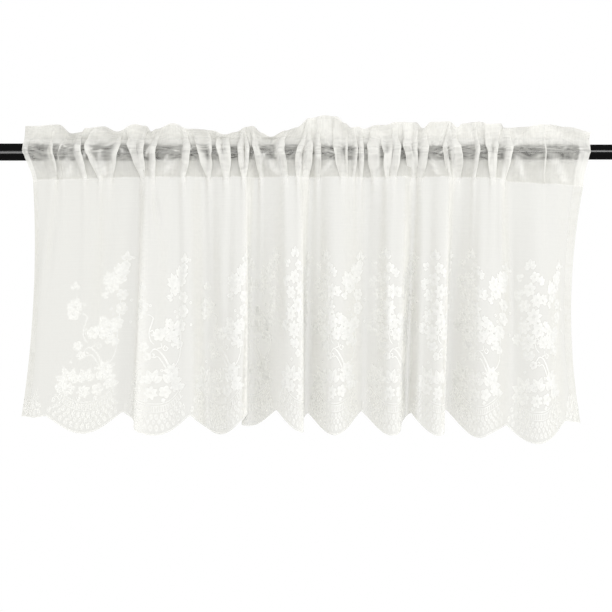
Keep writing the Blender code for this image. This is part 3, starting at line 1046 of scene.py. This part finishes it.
def build_tube(name, profile):
    """A turned tube around the X axis, from its section as places and radii. The section ends on
    the axis, or else it closes."""
    points, faces, starts = [], [], []
    for x, radius in profile:
        count = TUBE_SIDES if radius > 0 else 1
        angles = 2 * np.pi * np.arange(count) / count
        starts.append(len(points))
        points += [(x, radius * math.sin(a), radius * math.cos(a)) for a in angles]
    pairs = list(zip(range(len(profile)), range(1, len(profile))))
    if profile[0][1] > 0:
        pairs.append((len(profile) - 1, 0))
    for a, b in pairs:
        wide_a, wide_b = profile[a][1] > 0, profile[b][1] > 0
        for side in range(TUBE_SIDES):
            after = (side + 1) % TUBE_SIDES
            corners = (starts[a] + side * wide_a, starts[a] + after * wide_a,
                       starts[b] + after * wide_b, starts[b] + side * wide_b)
            faces.append(tuple(dict.fromkeys(corners)))
    return new_mesh_object(name, points, faces, sharp=40)


def build_rod():
    left, right = OUTER_LOW.x, OUTER_HIGH.x
    radius, inside = OUTER_RADIUS, OUTER_RADIUS - TUBE_WALL
    outer = build_tube("rod_outer", (
        (left, 0), (left, radius - EDGE), (left + EDGE, radius), (right - EDGE / 2, radius),
        (right, radius - EDGE / 2), (right, inside), (left + END_THICKNESS, inside),
        (left + END_THICKNESS, 0),
    ))
    left, right = INNER_LOW.x, INNER_HIGH.x
    radius, inside = INNER_RADIUS, INNER_RADIUS - TUBE_WALL
    inner = build_tube("rod_inner", (
        (right - END_THICKNESS, 0), (right - END_THICKNESS, inside), (left, inside),
        (left, radius), (right - EDGE, radius), (right, radius - EDGE), (right, 0),
    ))
    return outer, inner


# Materials

CLOTH_COLOUR = (0.585, 0.58, 0.535, 1)
# The pressed colour is lighter partly for denser gathered cloth and partly as painted light
PRESSED_AND_PAINTED_LIGHT_COLOUR = (0.79, 0.785, 0.75, 1)
LACE_COLOUR = (0.89, 0.89, 0.865, 1)
# Lace painted lighter where it lies in shade, as painted light
LACE_COLOUR_LIFTED_IN_SHADE = (0.98, 0.98, 0.955, 1)
PAINT_COLOUR = (0.004, 0.004, 0.0042, 1)
FLOOR_COLOUR = (0.85, 0.85, 0.85, 1)

# The shares of the light that each kind of thread stops, and that the cloth's lets through
CLOTH_COVER = 0.56
HEM_COVER = 0.05
FIGURE_COVER = 0.62
BORDER_COVER = 0.52
TRANSLUCENCE = 0.22

# Noises over the flat cloth: repeats for each metre across and along it, detail, distortion
SLUB_NOISE = (16, 520, 3.0)
STREAK_NOISE = (26, 120, 0.6, 3.0)
PLEAT_NOISE = (420, 30, 1.0)
CLOUD_NOISE = (42, 70, 0.8, 1.5)
WEAVE_NOISE = (60, 420, 4.0, 1.5)
THREAD_NOISE = (170, 200, 2.0)
TWIST_NOISE = (900, 2200, 2.0)
PAINT_GRAIN = 900.0

# How much they change the cover, and how much less of it lace has where it lies in shade, as
# painted light
SLUB_STRENGTH = 0.06
STREAK_LEVEL, STREAK_STRENGTH = 0.70, 1.5
PLEAT_STRENGTH = 0.3
CLOUD_STRENGTH = 0.8
THREAD_STRENGTH = 0.3
SHADE_FADING = 0.45


def set_inputs(tree, node, inputs):
    """Gives the node's inputs a value each, or a link where the value is a socket."""
    for name, value in inputs.items():
        if isinstance(value, bpy.types.NodeSocket):
            tree.links.new(value, node.inputs[name])
        else:
            node.inputs[name].default_value = value


def add_node(tree, kind, inputs, **settings):
    node = tree.nodes.new("ShaderNode" + kind)
    for name, value in settings.items():
        setattr(node, name, value)
    set_inputs(tree, node, inputs)
    return node


def noise_on_cloth(tree, across, along, detail, distortion=0.0):
    uv = add_node(tree, "UVMap", {}, uv_map="flat cloth").outputs["UV"]
    mapping = add_node(tree, "Mapping", {"Vector": uv, "Scale": (across, along, 1)})
    return add_node(tree, "TexNoise", {
        "Vector": mapping.outputs["Vector"], "Scale": 1.0, "Detail": detail,
        "Distortion": distortion,
    }).outputs["Fac"]


def maths(tree, operation, *values, clamp=False):
    inputs = dict(enumerate(values))
    return add_node(tree, "Math", inputs, operation=operation, use_clamp=clamp).outputs["Value"]


def attribute(tree, name):
    return add_node(tree, "Attribute", {}, attribute_name=name).outputs["Fac"]


def tint(tree, plain, other, share):
    """One colour turning into the other by the share that a point attribute gives."""
    inputs = {"A": plain, "B": other, "Factor": attribute(tree, share)}
    return add_node(tree, "Mix", inputs, data_type="RGBA").outputs["Result"]


def bump(tree, height, strength, distance):
    inputs = {"Strength": strength, "Distance": distance, "Height": height}
    return add_node(tree, "Bump", inputs).outputs["Normal"]


def new_material(name):
    material = bpy.data.materials.new(name)
    material.use_nodes = True
    return material, material.node_tree, material.node_tree.nodes["Principled BSDF"]


def show_through(tree, covered, surface):
    """Shows the surface over its covered share, and what lies behind it elsewhere."""
    clear = add_node(tree, "BsdfTransparent", {}).outputs[0]
    sheer = add_node(tree, "MixShader", {"Fac": covered, 1: clear, 2: surface.outputs[0]})
    tree.links.new(sheer.outputs["Shader"], tree.nodes["Material Output"].inputs["Surface"])


def cloth_material(name, cover):
    """Sheer voile: fine crossed threads, faint slubs, and light coming through.

    cover is the share of the light that the threads of one flat layer stop. Where the cloth
    turns edgewise in a fold its threads lie closer together, and near the left side it is made
    denser as painted shade, as the slant_and_painted_shade attribute says. Its colour turns
    lighter by the pressed_and_painted_light attribute, partly for tight gathers and partly as
    painted light.
    """
    material, tree, shader = new_material(name)
    # Painted lighter where the cloth is tight, partly for its denser threads and partly as painted
    # light
    colour = tint(tree, CLOTH_COLOUR, PRESSED_AND_PAINTED_LIGHT_COLOUR, "pressed_and_painted_light")
    weave = bump(tree, noise_on_cloth(tree, *WEAVE_NOISE), strength=0.25, distance=0.0006)
    set_inputs(tree, shader, {
        "Base Color": colour, "Roughness": 0.85, "Specular IOR Level": 0.15, "Normal": weave,
    })
    tight_and_painted_light = attribute(tree, "pressed_and_painted_light")
    slub = maths(tree, "MULTIPLY_ADD", noise_on_cloth(tree, *SLUB_NOISE), SLUB_STRENGTH,
                 cover - SLUB_STRENGTH / 2)
    loose = maths(tree, "SUBTRACT", attribute(tree, "pocket"), tight_and_painted_light, clamp=True)
    streak = maths(tree, "SUBTRACT", noise_on_cloth(tree, *STREAK_NOISE), STREAK_LEVEL)
    streak = maths(tree, "MULTIPLY", maths(tree, "MULTIPLY", streak, STREAK_STRENGTH), loose)
    pleats = maths(tree, "MULTIPLY_ADD", noise_on_cloth(tree, *PLEAT_NOISE), PLEAT_STRENGTH,
                   -PLEAT_STRENGTH)
    clouds = maths(tree, "MULTIPLY", noise_on_cloth(tree, *CLOUD_NOISE), CLOUD_STRENGTH)
    pleats = maths(tree, "MULTIPLY", maths(tree, "ADD", pleats, clouds), tight_and_painted_light)
    threads = maths(tree, "ADD", maths(tree, "ADD", slub, streak), pleats)
    gaps = maths(tree, "POWER", maths(tree, "SUBTRACT", 1.0, threads), attribute(tree, "slant_and_painted_shade"))
    glow = add_node(tree, "BsdfTranslucent", {"Color": colour})
    mixed = {"Fac": TRANSLUCENCE, 1: shader.outputs[0], 2: glow.outputs[0]}
    body = add_node(tree, "MixShader", mixed)
    show_through(tree, maths(tree, "SUBTRACT", 1.0, gaps, clamp=True), body)
    return material


def lace_material(name, cover):
    """Close white thread with small gaps. Where it lies in shade it is made fainter and painted
    lighter, as painted light.

    cover is the share of the light that it stops.
    """
    material, tree, shader = new_material(name)
    # Painted lighter where the lace lies in shade
    colour = tint(tree, LACE_COLOUR, LACE_COLOUR_LIFTED_IN_SHADE, "in_shade")
    twist = bump(tree, noise_on_cloth(tree, *TWIST_NOISE), strength=0.2, distance=0.0003)
    set_inputs(tree, shader, {
        "Base Color": colour, "Roughness": 0.6, "Specular IOR Level": 0.3, "Normal": twist,
    })
    threads = maths(tree, "MULTIPLY_ADD", noise_on_cloth(tree, *THREAD_NOISE), THREAD_STRENGTH,
                    cover - THREAD_STRENGTH / 2)
    fading_in_shade = maths(tree, "MULTIPLY_ADD", attribute(tree, "in_shade"), -SHADE_FADING, 1.0)
    show_through(tree, maths(tree, "MULTIPLY", threads, fading_in_shade, clamp=True), shader)
    return material


def rod_material():
    material, tree, shader = new_material("satin black paint")
    place = add_node(tree, "TexCoord", {}).outputs["Object"]
    grain = add_node(tree, "TexNoise", {"Vector": place, "Scale": PAINT_GRAIN}).outputs["Fac"]
    set_inputs(tree, shader, {
        "Base Color": PAINT_COLOUR, "Roughness": 0.14, "Specular IOR Level": 0.4,
        "Normal": bump(tree, grain, strength=0.05, distance=0.0002),
    })
    return material


def floor_material():
    material, tree, shader = new_material("pale floor")
    set_inputs(tree, shader, {"Base Color": FLOOR_COLOUR, "Roughness": 0.9})
    return material


def mark_cloth(item, tight_and_painted_light=0.0, in_pocket=0.0):
    """Stores how edgewise each point of the cloth lies with the painted shade near the left side,
    how tightly it is gathered with the painted light added to that, and whether the rod is behind
    it."""
    mesh = item.data
    normals = np.empty(len(mesh.vertices) * 3)
    mesh.vertex_normals.foreach_get("vector", normals)
    facing = np.abs(normals.reshape(-1, 3)[:, 1])
    places = np.empty(len(mesh.vertices) * 3)
    mesh.vertices.foreach_get("co", places)
    x, _, z = places.reshape(-1, 3).T
    slant_and_painted_shade = 1 / np.clip(facing, SLANT_LIMIT, 1)
    # Cloth that turns edgewise is painted lighter: painted light on steep flanks and fold edges
    tight_and_painted_light = np.clip(tight_and_painted_light + (slant_and_painted_shade - 1) * SLANT_PAINTED_LIGHT, 0, 1)
    # Painted shade: below the pocket near the left side the cloth is made denser so that it shows
    # darker
    slant_and_painted_shade *= 1 + LEFT_PAINTED_SHADE * near_left(x) * (z < BODY_TOP)
    for name, values in (("slant_and_painted_shade", slant_and_painted_shade), ("pressed_and_painted_light", tight_and_painted_light), ("pocket", in_pocket)):
        store(item, name, values)


# Stage

CAMERA_DISTANCE = 2.6
FRAME_WIDTH = 0.8935
SENSOR_WIDTH = 36.0
CAMERA_X = 0.4672
CAMERA_Z = -0.2247
FLOOR_Z = -1.2
FLOOR_HALF = 0.8
STUDIO_WHITE = 1.0
STUDIO_LIGHT = 1.14
STUDIO_REFLECTION = 0.05


def build_camera():
    data = bpy.data.cameras.new("camera")
    data.sensor_width = SENSOR_WIDTH
    data.lens = SENSOR_WIDTH * CAMERA_DISTANCE / FRAME_WIDTH
    camera = add_object("camera", data, (CAMERA_X, -CAMERA_DISTANCE, CAMERA_Z))
    camera.rotation_euler = (math.radians(90), 0, 0)
    bpy.context.scene.camera = camera


def add_area_light(name, location, target, size, power):
    light = bpy.data.lights.new(name, "AREA")
    light.shape = "RECTANGLE"
    light.size, light.size_y = size
    light.energy = power
    item = add_object(name, light, location)
    item.rotation_euler = (Vector(target) - item.location).to_track_quat("-Z", "Y").to_euler()
    return item


def build_stage():
    bpy.context.scene.view_settings.view_transform = "Standard"
    world = bpy.data.worlds.new("white studio")
    world.use_nodes = True
    tree = world.node_tree
    rays = add_node(tree, "LightPath", {})
    gloss = maths(tree, "MULTIPLY", rays.outputs["Is Glossy Ray"], STUDIO_REFLECTION - STUDIO_LIGHT)
    strength = maths(tree, "MULTIPLY_ADD", rays.outputs["Is Camera Ray"],
                     STUDIO_WHITE - STUDIO_LIGHT, STUDIO_LIGHT)
    set_inputs(tree, tree.nodes["Background"], {
        "Color": (1, 1, 1, 1), "Strength": maths(tree, "ADD", strength, gloss),
    })
    bpy.context.scene.world = world
    middle = (ROD_LENGTH / 2, 0, CAMERA_Z)
    add_area_light("key", (ROD_LENGTH / 2 + 2.2, -1.6, 0.7), middle, size=(0.8, 0.8), power=19)
    add_area_light("strip", (ROD_LENGTH / 2, -2.6, 0.22), middle, size=(3.4, 0.14), power=12)
    gleam = add_area_light("gleam", (ROD_LENGTH / 2, -2.6, -0.04), middle, size=(3.0, 0.9),
                           power=60)
    gleam.rotation_euler = (math.radians(90), math.radians(-30), 0)
    gleam.visible_diffuse = False
    gleam.visible_transmission = False
    bpy.ops.mesh.primitive_plane_add(size=2 * FLOOR_HALF, location=(ROD_LENGTH / 2, 0, FLOOR_Z))
    floor = bpy.context.active_object
    floor.name = "floor"
    floor.visible_glossy = False
    floor.data.materials.append(floor_material())


def dress(item, material, slot, *nodes):
    item.data.materials.append(material)
    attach(item, "root")
    if nodes:
        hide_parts(*nodes)


build_camera()
cloth, tight_and_painted_light, in_pocket = build_cloth()
mark_cloth(cloth, tight_and_painted_light, in_pocket)
dress(cloth, cloth_material("sheer voile", CLOTH_COVER), "sheer_cloth", "curtain")
hems = build_side_hems()
# The side hems count as fully pressed: painted lighter, partly as painted light on their shaded
# strips
mark_cloth(hems, 1.0)
dress(hems, cloth_material("turned voile", HEM_COVER), "sheer_cloth")
figure_thread = lace_material("white lace thread", FIGURE_COVER)
border_thread = lace_material("fine lace thread", BORDER_COVER)
lace = [*build_figures(), build_border(), build_stitching()]
for item in lace:
    dress(item, border_thread if item.name == "lace_border" else figure_thread, "sheer_cloth")
outer_tube, inner_tube = build_rod()
paint = rod_material()
dress(outer_tube, paint, "painted_rod", "rod_outer_tube")
dress(inner_tube, paint, "painted_rod", "rod_inner_tube")
build_stage()
